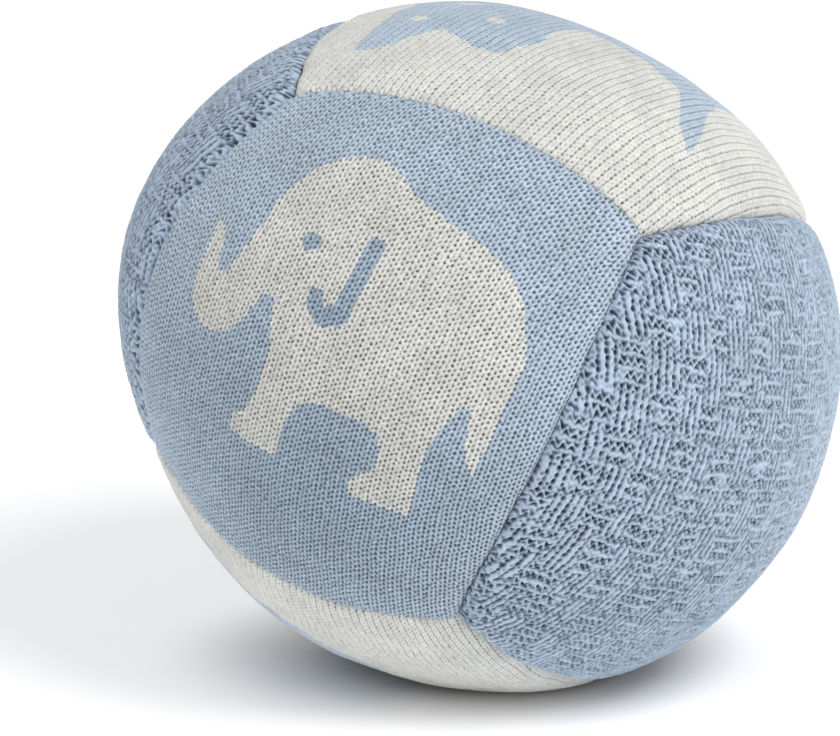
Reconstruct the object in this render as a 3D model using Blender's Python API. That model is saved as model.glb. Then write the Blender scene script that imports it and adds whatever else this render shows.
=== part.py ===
"""A knitted baby's ball: six four-sided knitted panels sewn edge to edge round a fibre filling.

Run it with blender --background --python part.py, or from Blender's text editor.

Everything is modelled in the ball's own axes: the front panel faces -Y, the top panel +Z and
the right panel +X. One empty, "ball", then leans the whole ball the way it came to rest, with
its lowest panel pressed flat on Z = 0. Lengths are in metres, and angles in degrees.

A place on the ball is a direction from its centre, and a depth below the outer surface.
"""

import itertools
import math

import bmesh
import bpy
from mathutils import Matrix, Vector

# ---------------------------------------------------------------- driving dimensions

BALL_RADIUS = 0.075
KNIT = 0.0018  # thickness of the knitted fabric
SEAM_ALLOWANCE = 0.007  # how far a panel's edge turns in at a seam
SEAM_DIP = 0.0020  # how far a seam pulls the surface in
SEAM_ROUNDING = 0.0030  # the distance over which the surface comes back up
GAP = 0.0003  # left between neighbouring pieces
FILLING_GAP = 0.0010  # left between the filling and the knitting over it
FLAT_DEPTH = 0.0030  # how far the ball's own weight flattens it

ROLL = 17.2  # the ball leans to its right
NOD = 11.4  # and its front panel looks up a little

PANEL_STEPS = 16  # mesh divisions along one side of a panel
EDGE_RINGS = (0.0018, 0.0050)  # extra mesh lines this far in from each seam

# The threads. An overlock thread wraps the two turned-in edges of a seam.
OVERLOCK = 0.0006
OVERLOCK_REACH = 0.0035  # how far it reaches up each side
OVERLOCK_END = 0.0060  # where it stops short of a corner
OVERLOCK_STEPS = 12
CLOSING_RADIUS = 0.00035
CLOSING_STITCH = 0.0040
CLOSING_SWING = 0.0007  # how far each hand stitch reaches to either side
CLOSING_STITCHES = 12

# ---------------------------------------------------------------- the ball's shape

FACES = {
    # face: (the way it faces, the way its knitting runs to the right)
    "front": ((0, -1, 0), (1, 0, 0)),
    "back": ((0, 1, 0), (-1, 0, 0)),
    "left": ((-1, 0, 0), (0, -1, 0)),
    "right": ((1, 0, 0), (0, 1, 0)),
    "bottom": ((0, 0, -1), (1, 0, 0)),
    "top": ((0, 0, 1), (1, 0, 0)),
}

# Where the hand-sewn corners sit, against the corners (+-1, +-1, +-1) of an even ball.
CORNERS = {
    (-1, -1, 1): (-0.80, -1.20, 0.95),
    (1, -1, 1): (1.00, -0.93, 1.06),
    (1, -1, -1): (0.92, -1.06, -1.02),
    (-1, -1, -1): (-0.97, -1.13, -0.88),
    (1, 1, 1): (0.92, 1.12, 0.95),
    (1, 1, -1): (1.00, 1.00, -0.95),
}

# How far the middle of a seam bows from its first face towards its second.
SEAM_BOWS = {
    ("front", "top"): 0.0030,
    ("front", "right"): -0.0048,
    ("front", "bottom"): 0.0015,
    ("front", "left"): -0.0020,
    ("right", "bottom"): 0.0015,
    ("top", "left"): 0.0015,
}

# Where the filling makes the ball fuller or slacker than round.
BULGES = {
    (-1, -1, 0): 0.0053,
    (1, -1, -1): -0.0041,
    (-1, -1, -1): -0.0043,
    (0, 0, 1): -0.0032,
    (0, 0, -1): -0.0043,
    (0, 1, 1): -0.0050,
}
BULGE_ANGLE = 0.55  # radians, how wide each of them is

# ---------------------------------------------------------------- colours

BLUE_JACQUARD = (0.36, 0.45, 0.57)
OFF_WHITE = (0.72, 0.72, 0.69)
BLUE_TEXTURED = (0.40, 0.49, 0.65)
WHITE_FIBRE = (0.85, 0.85, 0.83)

PANEL_COLOURS = {
    "front": BLUE_JACQUARD,
    "back": BLUE_JACQUARD,
    "left": BLUE_TEXTURED,
    "right": BLUE_TEXTURED,
    "bottom": OFF_WHITE,
    "top": OFF_WHITE,
}


def face_axes(face):
    """(outward, right, up) of a face, as it is seen from outside."""
    outward, right = (Vector(axis) for axis in FACES[face])
    return outward, right, outward.cross(right)


def corner(signs):
    return Vector(CORNERS.get(signs, signs)).normalized()


def corners_of(face):
    """The face's corners as sign triples: low left, low right, high left, high right."""
    outward, right, up = face_axes(face)
    return [
        tuple(round(c) for c in outward + across * right + along * up)
        for along in (-1, 1)
        for across in (-1, 1)
    ]


def bow_between(face, other):
    if (face, other) in SEAM_BOWS:
        return SEAM_BOWS[face, other]
    return -SEAM_BOWS.get((other, face), 0.0)


def seam_direction(face, other, start, end, t):
    """A point of the seam between two faces, from corner start to corner end, as a direction."""
    a, b = corner(start), corner(end)
    sideways = a.cross(b).normalized()
    if sideways.dot(face_axes(other)[0] - face_axes(face)[0]) < 0:
        sideways = -sideways
    bow = bow_between(face, other) / BALL_RADIUS
    return (a.lerp(b, t).normalized() + 4 * t * (1 - t) * bow * sideways).normalized()


def neighbours_of(face):
    """The face's neighbours below, above, to its left and to its right."""
    _, right, up = face_axes(face)
    facing = {FACES[name][0]: name for name in FACES}
    return [facing[tuple(round(c) for c in way)] for way in (-up, up, -right, right)]


def inward_from(direction, ahead, towards):
    """The unit direction along the surface, square to a seam that runs ahead, on one side."""
    across = direction.cross(ahead).normalized()
    return across if across.dot(towards) > 0 else -across


class Panel:
    """One face's patch of directions, inset from its four seams by the same distance."""

    def __init__(self, face, inset):
        low_left, low_right, high_left, high_right = corners_of(face)
        below, above, left, right = neighbours_of(face)
        _, rightward, upward = face_axes(face)
        self.face = face
        self.inset = inset / BALL_RADIUS
        self.low = (below, low_left, low_right, upward)
        self.high = (above, high_left, high_right, -upward)
        self.left = (left, low_left, high_left, rightward)
        self.right = (right, low_right, high_right, -rightward)

    def edge(self, side, t):
        """The point at t, from 0 to 1, along one side of the patch."""
        other, start, end, towards = side
        # The seams meet at about 120 degrees, so an inset side is shorter at both ends.
        short = self.inset * math.tan(math.radians(30)) / corner(start).angle(corner(end))
        t = short + (1 - 2 * short) * t
        here, before, after = (
            seam_direction(self.face, other, start, end, t + step) for step in (0, -0.005, 0.005)
        )
        return (here + inward_from(here, after - before, towards) * self.inset).normalized()

    def direction(self, u, v):
        """The direction at u across and v up the patch, both from 0 to 1 (a Coons patch)."""
        c00, c10, c01, c11 = (
            (self.edge(flat, x) + self.edge(upright, y)).normalized()
            for flat, y in ((self.low, 0), (self.high, 1))
            for upright, x in ((self.left, 0), (self.right, 1))
        )
        if u in (0, 1) and v in (0, 1):
            return ((c00, c10), (c01, c11))[int(v)][int(u)]
        if v in (0, 1):
            return self.edge(self.high if v else self.low, u)
        if u in (0, 1):
            return self.edge(self.right if u else self.left, v)
        ruled = self.edge(self.low, u).lerp(self.edge(self.high, u), v)
        ruled += self.edge(self.left, v).lerp(self.edge(self.right, v), u)
        return (ruled - c00.lerp(c10, u).lerp(c01.lerp(c11, u), v)).normalized()


def radius_towards(direction):
    """The ball's radius in one direction, before its seams pull it in."""
    radius = BALL_RADIUS
    for place, height in BULGES.items():
        angle = direction.angle(Vector(place))
        radius += height * math.exp(-((angle / BULGE_ANGLE) ** 2))
    return radius


def seam_dip(distance):
    """How far the surface is pulled in at this distance from a seam."""
    return SEAM_DIP * math.exp(-distance / SEAM_ROUNDING)


# ---------------------------------------------------------------- how the ball rests

LEAN = Matrix.Rotation(math.radians(-NOD), 3, "X") @ Matrix.Rotation(math.radians(ROLL), 3, "Y")
UP = LEAN.transposed() @ Vector((0, 0, 1))


def steps_along(rings=EDGE_RINGS):
    """Places from 0 to 1 along a panel's side, closer together beside the seams."""
    side = BALL_RADIUS * math.radians(90)
    near = [ring / side for ring in rings]
    count = PANEL_STEPS - 2 * len(near)
    span = 1 - 2 * near[-1]
    middle = [near[-1] + span * i / count for i in range(1, count)]
    return [0, *near, *middle, *(1 - place for place in reversed(near)), 1]


def lowest_reach():
    """How far the ball's centre would be above the floor if it weren't pressed flat."""
    places = [i / 40 for i in range(41)]
    bottom = Panel("bottom", 0)
    directions = (bottom.direction(u, v) for u in places for v in places)
    return -min((way * radius_towards(way)).dot(UP) for way in directions)


CENTRE_HEIGHT = lowest_reach() - FLAT_DEPTH


def place(direction, depth, above_floor=0.0):
    """The point this deep below the surface, pressed up to no lower than above_floor."""
    point = direction * (radius_towards(direction) - depth)
    sunk = above_floor - (point.dot(UP) + CENTRE_HEIGHT)
    return point + UP * max(sunk, 0.0)


# ---------------------------------------------------------------- making objects


def fabric(name, colour, roughness):
    material = bpy.data.materials.new(name)
    material.use_nodes = True
    shader = material.node_tree.nodes["Principled BSDF"]
    shader.inputs["Base Color"].default_value = (*colour, 1)
    shader.inputs["Roughness"].default_value = roughness
    shader.inputs["Metallic"].default_value = 0.0
    material.diffuse_color = (*colour, 1)
    return material


def add_object(name, points, faces, material, ball):
    """One closed mesh object, shaded smooth, in the ball's axes."""
    mesh = bpy.data.meshes.new(name)
    mesh.from_pydata([tuple(point) for point in points], [], faces)
    cleaned = bmesh.new()
    cleaned.from_mesh(mesh)
    bmesh.ops.recalc_face_normals(cleaned, faces=cleaned.faces)
    cleaned.to_mesh(mesh)
    cleaned.free()
    mesh.shade_smooth()
    mesh.materials.append(material)
    obj = bpy.data.objects.new(name, mesh)
    obj.parent = ball
    bpy.context.collection.objects.link(obj)
    return obj


class Shell:
    """Points by name, and the faces between them."""

    def __init__(self):
        self.points = []
        self.index = {}
        self.faces = []

    def add(self, key, point):
        self.index[key] = len(self.points)
        self.points.append(point)

    def face(self, *keys):
        self.faces.append([self.index[key] for key in keys])

    def grid(self, layer, count, reverse=False):
        for i, j in itertools.product(range(count), range(count)):
            keys = [(layer, i, j), (layer, i + 1, j), (layer, i + 1, j + 1), (layer, i, j + 1)]
            self.face(*(reversed(keys) if reverse else keys))

    def band(self, upper, lower, border):
        """Joins two layers along a closed border of (i, j) places."""
        for a, b in zip(border, border[1:] + border[:1]):
            self.face((upper, *a), (upper, *b), (lower, *b), (lower, *a))


def border_of(count):
    """The (i, j) places round a grid, once round."""
    low = [(i, 0) for i in range(count)]
    right = [(count, j) for j in range(count)]
    high = [(count - i, count) for i in range(count)]
    left = [(0, count - j) for j in range(count)]
    return low + right + high + left


def grid_layer(shell, layer, face, inset, depth, above_floor):
    """A grid of points over one face. depth is added to the seams' pull."""
    patch = Panel(face, inset)
    places = steps_along()
    side = BALL_RADIUS * math.radians(90)
    for (i, u), (j, v) in itertools.product(enumerate(places), enumerate(places)):
        from_seam = inset + side * min(u, 1 - u, v, 1 - v)
        point = place(patch.direction(u, v), depth + seam_dip(from_seam), above_floor)
        shell.add((layer, i, j), point)


def border_layer(shell, layer, face, inset, depth):
    """The points round one face's border, this deep below the seams."""
    patch = Panel(face, inset)
    places = steps_along()
    for i, j in border_of(len(places) - 1):
        shell.add((layer, i, j), place(patch.direction(places[i], places[j]), depth))


def knitted_panel(face, ball):
    """A panel: its outer and inner surface, and its four edges turned in as seam allowance."""
    shell = Shell()
    count = len(steps_along()) - 1
    border = border_of(count)
    tip = SEAM_DIP + SEAM_ALLOWANCE
    grid_layer(shell, "outer", face, GAP / 2, 0, 0)
    border_layer(shell, "tip outside", face, GAP / 2, tip)
    border_layer(shell, "tip inside", face, GAP / 2 + KNIT, tip)
    grid_layer(shell, "inner", face, GAP / 2 + KNIT, KNIT, KNIT)
    shell.grid("outer", count)
    shell.band("outer", "tip outside", border)
    shell.band("tip outside", "tip inside", border)
    shell.band("tip inside", "inner", border)
    shell.grid("inner", count, reverse=True)
    material = fabric(f"{face}_knit", PANEL_COLOURS[face], 0.9)
    return add_object(f"{face}_panel", shell.points, shell.faces, material, ball)


def fibre_filling(ball):
    """One stuffed body with a groove under every seam, clear of the turned-in edges."""
    shell = Shell()
    count = len(steps_along()) - 1
    border = border_of(count)
    inset = GAP / 2 + KNIT + GAP + OVERLOCK + GAP
    groove = SEAM_DIP + SEAM_ALLOWANCE + GAP + OVERLOCK + GAP
    at_corner = {}
    on_seam = {}
    for face in FACES:
        top, floor = f"{face} top", f"{face} floor"
        grid_layer(shell, top, face, inset, KNIT + FILLING_GAP, KNIT + FILLING_GAP)
        border_layer(shell, floor, face, inset, groove)
        shell.grid(top, count)
        shell.band(top, floor, border)
        low_left, low_right, high_left, high_right = corners_of(face)
        below, above, left, right = neighbours_of(face)
        rows = {
            (below, low_left, low_right): [(i, 0) for i in range(count + 1)],
            (above, high_left, high_right): [(i, count) for i in range(count + 1)],
            (left, low_left, high_left): [(0, j) for j in range(count + 1)],
            (right, low_right, high_right): [(count, j) for j in range(count + 1)],
        }
        for (other, start, end), row in rows.items():
            if start > end:
                row = row[::-1]
            on_seam.setdefault(tuple(sorted((face, other))), []).append([(floor, *ij) for ij in row])
            at_corner.setdefault(min(start, end), {})[face] = (floor, *row[0])
            at_corner.setdefault(max(start, end), {})[face] = (floor, *row[-1])
    for one, two in on_seam.values():
        for a, b, c, d in zip(one, one[1:], two[1:], two):
            shell.face(a, b, c, d)
    for keys in at_corner.values():
        shell.face(*keys.values())
    return add_object("filling", shell.points, shell.faces, fabric("fibre", WHITE_FIBRE, 1.0), ball)


def swept(sections):
    """The faces and points of a tube through sections that have equal numbers of points."""
    size = len(sections[0])
    points = [point for section in sections for point in section]
    faces = [list(range(size))[::-1], [len(points) - size + k for k in range(size)]]
    for ring in range(len(sections) - 1):
        for k in range(size):
            a, b = ring * size + k, ring * size + (k + 1) % size
            faces.append([a, b, b + size, a + size])
    return points, faces


def seam_frame(seam, t):
    """(direction, sideways) on a seam: sideways is square to it, from its first face."""
    face, other, start, end = seam
    here = seam_direction(face, other, start, end, t)
    ahead = seam_direction(face, other, start, end, min(t + 0.01, 1)) - seam_direction(
        face, other, start, end, max(t - 0.01, 0)
    )
    towards = face_axes(other)[0] - face_axes(face)[0]
    return here, inward_from(here, ahead, towards)


def overlock_thread(seam, ball):
    """The thread wrapped round a seam's two turned-in edges, as a channel that holds them."""
    inside = GAP / 2 + KNIT + GAP
    outside = inside + OVERLOCK
    top = SEAM_DIP + SEAM_ALLOWANCE - OVERLOCK_REACH
    tip = SEAM_DIP + SEAM_ALLOWANCE + GAP
    profile = [
        (-outside, top),
        (-outside, tip + OVERLOCK),
        (outside, tip + OVERLOCK),
        (outside, top),
        (inside, top),
        (inside, tip),
        (-inside, tip),
        (-inside, top),
    ]
    length = BALL_RADIUS * corner(seam[2]).angle(corner(seam[3]))
    margin = OVERLOCK_END / length
    sections = []
    for step in range(OVERLOCK_STEPS + 1):
        here, sideways = seam_frame(seam, margin + (1 - 2 * margin) * step / OVERLOCK_STEPS)
        sections.append(
            [place((here + sideways * x / BALL_RADIUS).normalized(), depth) for x, depth in profile]
        )
    name = f"seam_thread_{seam[0]}_{seam[1]}"
    colour = BLUE_TEXTURED if "left" in seam or "right" in seam else OFF_WHITE
    return add_object(name, *swept(sections), fabric(f"{name}_cotton", colour, 0.8), ball)


def closing_thread(seam, ball):
    """The hand stitches that close the gap the ball was stuffed through, across one seam."""
    length = BALL_RADIUS * corner(seam[2]).angle(corner(seam[3]))
    step = CLOSING_STITCH / length
    start = 0.5 - step * CLOSING_STITCHES / 2
    centres = []
    for stitch in range(2 * CLOSING_STITCHES + 1):
        here, sideways = seam_frame(seam, start + stitch * step / 2)
        swing = CLOSING_SWING * (1 if stitch % 2 else -1)
        way = (here + sideways * swing / BALL_RADIUS).normalized()
        centres.append(place(way, SEAM_DIP - CLOSING_RADIUS - 2 * GAP))
    sections = []
    for i, centre in enumerate(centres):
        ahead = (centres[min(i + 1, len(centres) - 1)] - centres[max(i - 1, 0)]).normalized()
        outward = centre.normalized()
        across = ahead.cross(outward).normalized()
        ring = [math.radians(60 * k) for k in range(6)]
        sections.append(
            [centre + CLOSING_RADIUS * (math.cos(a) * across + math.sin(a) * outward) for a in ring]
        )
    material = fabric("closing_cotton", OFF_WHITE, 0.8)
    return add_object("closing_thread", *swept(sections), material, ball)


def seams():
    """Every seam once, as (face, other face, start corner, end corner)."""
    for face, other in itertools.combinations(FACES, 2):
        shared = sorted(set(corners_of(face)) & set(corners_of(other)))
        if len(shared) == 2:
            yield (face, other, *shared)


def main():
    for obj in list(bpy.data.objects):
        bpy.data.objects.remove(obj, do_unlink=True)
    ball = bpy.data.objects.new("ball", None)
    ball.empty_display_size = BALL_RADIUS / 2
    bpy.context.collection.objects.link(ball)

    pieces = [knitted_panel(face, ball) for face in FACES]
    fibre_filling(ball)
    for seam in seams():
        overlock_thread(seam, ball)
    closing_thread(next(s for s in seams() if set(s[:2]) == {"back", "bottom"}), ball)

    # The origin is under the middle of the ball's box.
    reach = [LEAN @ vertex.co for piece in pieces for vertex in piece.data.vertices]
    middle = [(min(p[k] for p in reach) + max(p[k] for p in reach)) / 2 for k in (0, 1)]
    ball.rotation_euler = LEAN.to_euler()
    ball.location = (-middle[0], -middle[1], CENTRE_HEIGHT)


main()
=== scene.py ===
"""How the knitted ball looks: its six knitted panels stitch by stitch, its seams, thread and filling.

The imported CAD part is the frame. Each visible piece stands for one CAD node and rides its body.
Shapes are worked out in the ball's own axes, as in the CAD source: the front panel faces -Y, the
top panel +Z and the right panel +X. Then the whole ball leans the way it came to rest.
Lengths are in metres. A place on a panel is (u, v), from 0 to 1 across and up it, and a stitch
is (wale, course): a wale is a column of stitches, and a course is a row.
"""

import itertools
import math

import bpy
import numpy as np
from mathutils import Matrix, Vector


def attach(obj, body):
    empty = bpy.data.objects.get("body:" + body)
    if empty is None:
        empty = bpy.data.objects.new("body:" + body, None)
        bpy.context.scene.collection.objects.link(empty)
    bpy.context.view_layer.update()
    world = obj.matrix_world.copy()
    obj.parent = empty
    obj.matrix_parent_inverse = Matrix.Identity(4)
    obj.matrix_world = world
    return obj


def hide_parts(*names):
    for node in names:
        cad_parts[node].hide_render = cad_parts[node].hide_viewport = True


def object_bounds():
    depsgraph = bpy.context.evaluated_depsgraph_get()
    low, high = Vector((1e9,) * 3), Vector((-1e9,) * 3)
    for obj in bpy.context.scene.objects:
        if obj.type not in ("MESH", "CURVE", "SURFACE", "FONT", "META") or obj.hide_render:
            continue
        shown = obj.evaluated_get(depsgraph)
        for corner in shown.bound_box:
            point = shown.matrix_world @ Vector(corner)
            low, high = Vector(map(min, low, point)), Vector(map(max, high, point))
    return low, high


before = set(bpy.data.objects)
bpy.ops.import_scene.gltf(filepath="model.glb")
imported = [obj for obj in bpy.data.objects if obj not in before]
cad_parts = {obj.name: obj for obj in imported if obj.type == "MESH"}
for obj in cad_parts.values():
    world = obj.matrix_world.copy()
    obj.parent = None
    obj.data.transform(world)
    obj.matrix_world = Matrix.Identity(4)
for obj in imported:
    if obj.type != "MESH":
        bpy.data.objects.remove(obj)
cad_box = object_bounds()

# ---------------------------------------------------------------- the ball, as in the CAD source

BALL_RADIUS = 0.075
KNIT = 0.0018  # thickness of the knitted fabric
SEAM_ALLOWANCE = 0.007  # how far a panel's edge turns in at a seam
GAP = 0.0003  # left between neighbouring pieces
FLAT_DEPTH = 0.0030  # how far the ball's own weight flattens it
ROLL = 17.2  # degrees that the ball leans to its right
NOD = 11.4  # degrees that its front panel looks up

FACES = {
    # face: (the way it faces, the way its knitting runs to the right)
    "front": ((0, -1, 0), (1, 0, 0)),
    "back": ((0, 1, 0), (-1, 0, 0)),
    "left": ((-1, 0, 0), (0, -1, 0)),
    "right": ((1, 0, 0), (0, 1, 0)),
    "bottom": ((0, 0, -1), (1, 0, 0)),
    "top": ((0, 0, 1), (1, 0, 0)),
}

# Where the hand-sewn corners sit, against the corners (+-1, +-1, +-1) of an even ball.
CORNERS = {
    (-1, -1, 1): (-0.80, -1.20, 0.95),
    (1, -1, 1): (1.00, -0.93, 1.06),
    (1, -1, -1): (0.92, -1.06, -1.02),
    (-1, -1, -1): (-0.97, -1.13, -0.88),
    (1, 1, 1): (0.92, 1.12, 0.95),
    (1, 1, -1): (1.00, 1.00, -0.95),
}

# How far the middle of a seam bows from its first face towards its second. Other seams are straight.
SEAM_BOWS = {
    ("front", "top"): 0.0040,  # 1 mm more than in the CAD, as the white edge rolls back there
    ("front", "right"): -0.0048,
    ("front", "bottom"): 0.0015,
    ("front", "left"): -0.0020,
    ("right", "bottom"): 0.0015,
    ("top", "left"): 0.0015,
}

# How far the stuffed ball is out of round: {direction: height}.
BULGES = {
    (-1, -1, 0): 0.0053,
    (1, -1, -1): -0.0041,
    (-1, -1, -1): -0.0043,
    (0, 0, 1): -0.0032,
    (0, 0, -1): -0.0043,
    (0, 1, 1): -0.0050,
}
BULGE_ANGLE = 0.55  # radians from a bulge's middle to where it has mostly gone

LEAN = np.array(
    Matrix.Rotation(math.radians(-NOD), 3, "X") @ Matrix.Rotation(math.radians(ROLL), 3, "Y")
)
UP = LEAN.T @ np.array([0.0, 0.0, 1.0])
SIDE = BALL_RADIUS * math.radians(90)  # the length of a panel's side, across its middle

# ---------------------------------------------------------------- the knitting

TEXTURED = ("left", "right")
RIBBED = ("top", "bottom")
GRIDS = {"thin": (520, 520), "thick": (440, 470)}  # mesh steps across and up a panel
STITCHES = {
    # knit: a stitch's width, then its height, each (in the middle of a panel, beside its seams)
    "thin": ((0.00177, 0.00200), (0.00115, 0.00155)),
    "thick": ((0.00138, 0.00175), (0.00140, 0.00140)),
}
RUNS_STRAIGHT = {"top": 0.9, "bottom": 0.5}  # 1, as elsewhere, is straight; 0 follows the panel's sides
FINE_RELIEF = 0.0007  # from the bottom of a hole to the top of the yarn
COARSE_RELIEF = 0.0011  # the same for the thick knit
COARSE_STAND = 0.0004  # how much further out the thick knit stands
FINE_HOLE = (0.110, 0.170)  # a hole's radius in the thin knit, in stitches across and along
BLOCK_WALES, BLOCK_COURSES = 4, 6  # the thick knit alternates smooth and purled blocks

# A seam: (how far it pulls the surface in, the distance over which the surface comes back up).
FINE_SEAM = (0.0008, 0.0013)
COARSE_SEAM = (0.0023, 0.0024)
SEAM_STITCHES = 62  # along the side of a panel
TURNED_IN = (0.0006, 0.0016, 0.0035, SEAM_ALLOWANCE)  # depths of the mesh rings of a panel's edge

CAGE_STEPS = 36  # cloth mesh steps along the side of a panel
CAGE_INSET = 0.0012  # how far inside the round shape the cloth starts
STUFFING_FRAMES = 20
MOST_SWELL = 0.004  # how far the cloth may move
SEED = 7


def unit(a):
    """Vectors scaled to a length of 1."""
    return a / np.linalg.norm(a, axis=-1, keepdims=True)


def face_axes(face):
    """The way a face looks, the way its knitting runs to the right, and the way up it."""
    outward, right = (np.array(axis, float) for axis in FACES[face])
    return outward, right, np.cross(outward, right)


def corner(signs):
    """The direction of the ball's corner with these signs."""
    return unit(np.array(CORNERS.get(signs, signs), float))


def corners_of(face):
    """The face's corners as sign triples: low left, low right, high left, high right."""
    outward, right, up = face_axes(face)
    return [
        tuple(int(round(c)) for c in outward + across * right + along * up)
        for along in (-1, 1)
        for across in (-1, 1)
    ]


def neighbours_of(face):
    """The face's neighbours below, above, to its left and to its right."""
    _, right, up = face_axes(face)
    facing = {FACES[name][0]: name for name in FACES}
    return [facing[tuple(int(round(c)) for c in way)] for way in (-up, up, -right, right)]


def bow_between(face, other):
    """How far the middle of their seam bows from one face towards the other."""
    if (face, other) in SEAM_BOWS:
        return SEAM_BOWS[face, other]
    return -SEAM_BOWS.get((other, face), 0.0)


def seam_direction(face, other, start, end, t):
    """Points of the seam between two faces, from corner start to corner end, as directions."""
    a, b = corner(start), corner(end)
    sideways = unit(np.cross(a, b))
    if sideways @ (face_axes(other)[0] - face_axes(face)[0]) < 0:
        sideways = -sideways
    bow = bow_between(face, other) / BALL_RADIUS
    t = np.asarray(t, float)[..., None]
    return unit(unit(a * (1 - t) + b * t) + 4 * t * (1 - t) * bow * sideways)


def inward_from(direction, ahead, towards):
    """The direction square to a seam that runs ahead, on the side where towards points."""
    across = unit(np.cross(direction, ahead))
    return across * np.sign(np.sum(across * towards, axis=-1, keepdims=True))


def side_of(face, side, t, inset):
    """Directions along one side of a face (0 below, 1 above, 2 left, 3 right), inset from its seam."""
    low_left, low_right, high_left, high_right = corners_of(face)
    level = ((low_left, low_right), (high_left, high_right))
    upright = ((low_left, high_left), (low_right, high_right))
    start, end = (level + upright)[side]
    other = neighbours_of(face)[side]
    _, rightward, upward = face_axes(face)
    towards = (upward, -upward, rightward, -rightward)[side]
    angle = math.acos(float(corner(start) @ corner(end)))
    short = inset / BALL_RADIUS * math.tan(math.radians(30)) / angle
    t = short + (1 - 2 * short) * np.asarray(t, float)
    ahead = seam_direction(face, other, start, end, t + 0.005)
    ahead = ahead - seam_direction(face, other, start, end, t - 0.005)
    here = seam_direction(face, other, start, end, t)
    return unit(here + inward_from(here, ahead, towards) * inset / BALL_RADIUS)


def patch(face, u, v, inset=0.0):
    """Directions over a face at every (v, u) of two lists, as a Coons patch between its sides."""
    below, above = side_of(face, 0, u, inset), side_of(face, 1, u, inset)
    left, right = side_of(face, 2, v, inset), side_of(face, 3, v, inset)
    ends = np.array([0.0, 1.0])
    flat = [side_of(face, k, ends, inset) for k in (0, 1)]
    upright = [side_of(face, k, ends, inset) for k in (2, 3)]
    c00, c10 = unit(flat[0][0] + upright[0][0]), unit(flat[0][1] + upright[1][0])
    c01, c11 = unit(flat[1][0] + upright[0][1]), unit(flat[1][1] + upright[1][1])
    uu, vv = np.asarray(u)[None, :, None], np.asarray(v)[:, None, None]
    ruled = below[None] * (1 - vv) + above[None] * vv + left[:, None] * (1 - uu) + right[:, None] * uu
    bilinear = (c00 * (1 - uu) + c10 * uu) * (1 - vv) + (c01 * (1 - uu) + c11 * uu) * vv
    return unit(ruled - bilinear)


def radius_towards(direction):
    """How far the ball's surface is from its centre in each direction."""
    radius = np.full(direction.shape[:-1], BALL_RADIUS)
    for place, height in BULGES.items():
        angle = np.arccos(np.clip(direction @ unit(np.array(place, float)), -1, 1))
        radius += height * np.exp(-((angle / BULGE_ANGLE) ** 2))
    return radius


# ---------------------------------------------------------------- where the ball rests

grid = np.linspace(0, 1, 121)
reach = np.concatenate([patch(face, grid, grid).reshape(-1, 3) for face in FACES])
reach = reach * radius_towards(reach)[:, None]
CENTRE_HEIGHT = -(reach @ UP).min() - FLAT_DEPTH
leaned = reach @ LEAN.T
cad_middle = (np.array(cad_box[0]) + np.array(cad_box[1])) / 2
CENTRE = np.array([*(cad_middle - (leaned.min(0) + leaned.max(0)) / 2)[:2], CENTRE_HEIGHT])


def to_frame(points):
    """Points in the ball's own axes, as points in the row frame."""
    return points @ LEAN.T + CENTRE


# ---------------------------------------------------------------- noise


def value_noise(seed, x, y):
    """Smooth seeded noise over the plane, from -1 to 1, with one bump for each unit square."""
    table = np.random.default_rng(seed).uniform(-1, 1, (256, 256))
    i, j = np.floor(x).astype(int), np.floor(y).astype(int)
    fx, fy = x - i, y - j
    fx, fy = fx * fx * (3 - 2 * fx), fy * fy * (3 - 2 * fy)
    a, b = table[j % 256, i % 256], table[j % 256, (i + 1) % 256]
    c, d = table[(j + 1) % 256, i % 256], table[(j + 1) % 256, (i + 1) % 256]
    return (a * (1 - fx) + b * fx) * (1 - fy) + (c * (1 - fx) + d * fx) * fy


# ---------------------------------------------------------------- the stuffed shape, by cloth simulation


def weld(points, faces):
    """Points that coincide made one: (points, faces, which new point each old one is)."""
    _, first, index = np.unique(
        np.round(points / 1e-6).astype(np.int64), axis=0, return_index=True, return_inverse=True
    )
    index = index.reshape(-1)
    return points[first], index[faces], index


def grid_faces(rows, columns, offset=0):
    """The four-sided faces of a grid of points."""
    index = np.arange(rows * columns).reshape(rows, columns) + offset
    quads = [index[:-1, :-1], index[:-1, 1:], index[1:, 1:], index[1:, :-1]]
    return np.stack([q.ravel() for q in quads], axis=1)


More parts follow.
